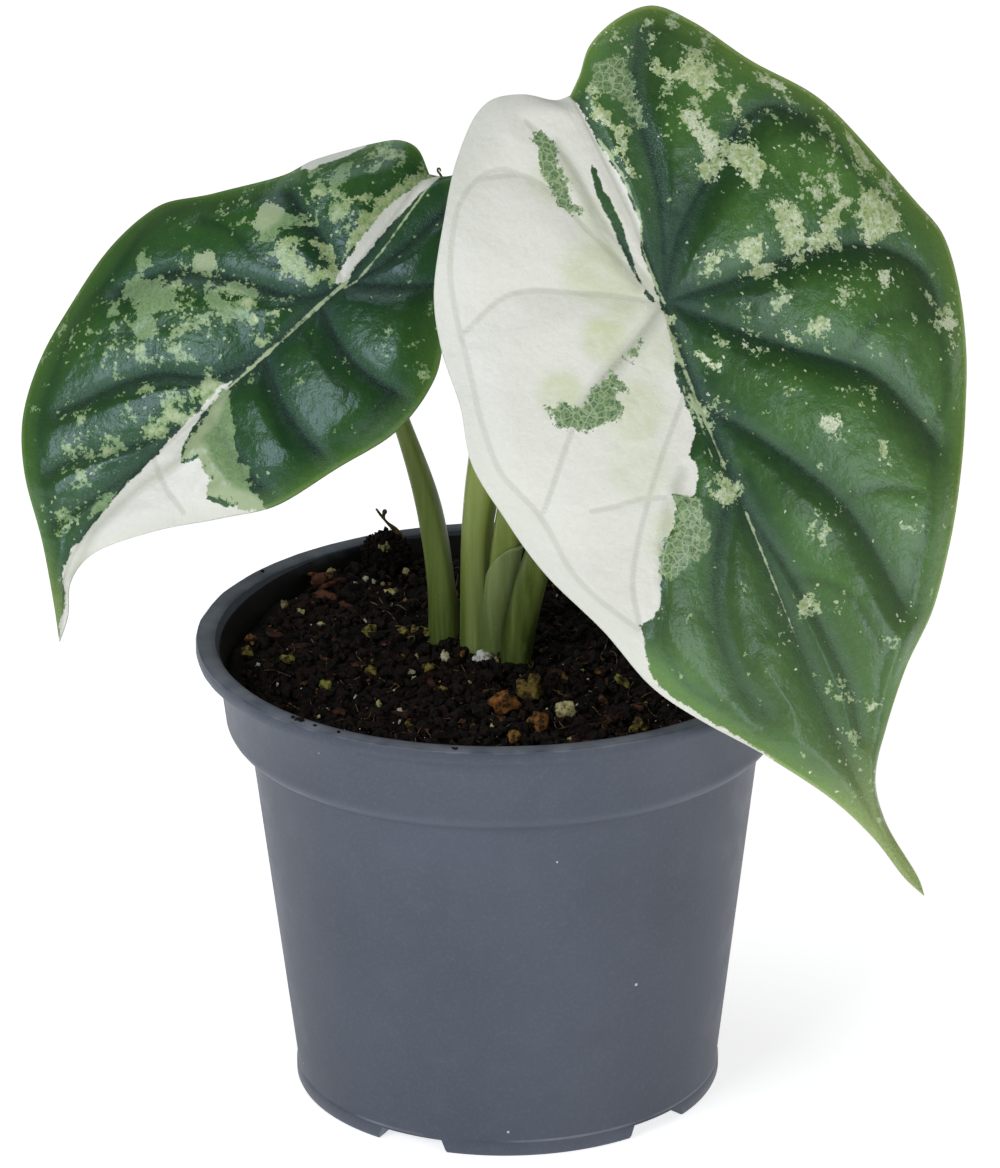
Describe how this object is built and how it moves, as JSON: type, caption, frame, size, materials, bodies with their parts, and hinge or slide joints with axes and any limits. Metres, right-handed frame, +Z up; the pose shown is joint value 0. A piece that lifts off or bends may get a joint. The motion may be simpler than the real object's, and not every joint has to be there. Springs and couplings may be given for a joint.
{
  "type": "potted variegated dragon scale alocasia",
  "caption": "Aroid house plant with large quilted, green and cream shield-shaped leaves on stalks, rooted in peat mix in a round tapered nursery pot; stands on its flat base.",
  "frame": {"origin": "middle of the pot's base, on the pot's axis", "axes": "+Z up along the pot's axis, -Y is the front that the big leaf faces, +X to the right seen from the front"},
  "size_m": [0.1818, 0.12, 0.2183],
  "materials": {
    "pot_plastic": "satin slate grey moulded polypropylene",
    "peat_mix": "damp dark peat with bark, pumice and perlite grains",
    "stalk_skin": "smooth satin green plant skin, paler at the sheaths",
    "young_leaf_skin": "satin pale green young leaf",
    "leaf_skin_green": "glossy deep green leaf with pale flecks and a cream wedge",
    "leaf_skin_variegated": "glossy leaf, half cream white and half deep green"
  },
  "bodies": {
    "root": {"pot": "pot_plastic", "soil": "peat_mix", "petiole_left": "stalk_skin", "petiole_front": "stalk_skin", "petiole_young": "stalk_skin", "young_shoot": "stalk_skin", "rolled_leaf": "young_leaf_skin", "leaf_left": "leaf_skin_green", "leaf_front": "leaf_skin_variegated"}
  },
  "joints": []
}
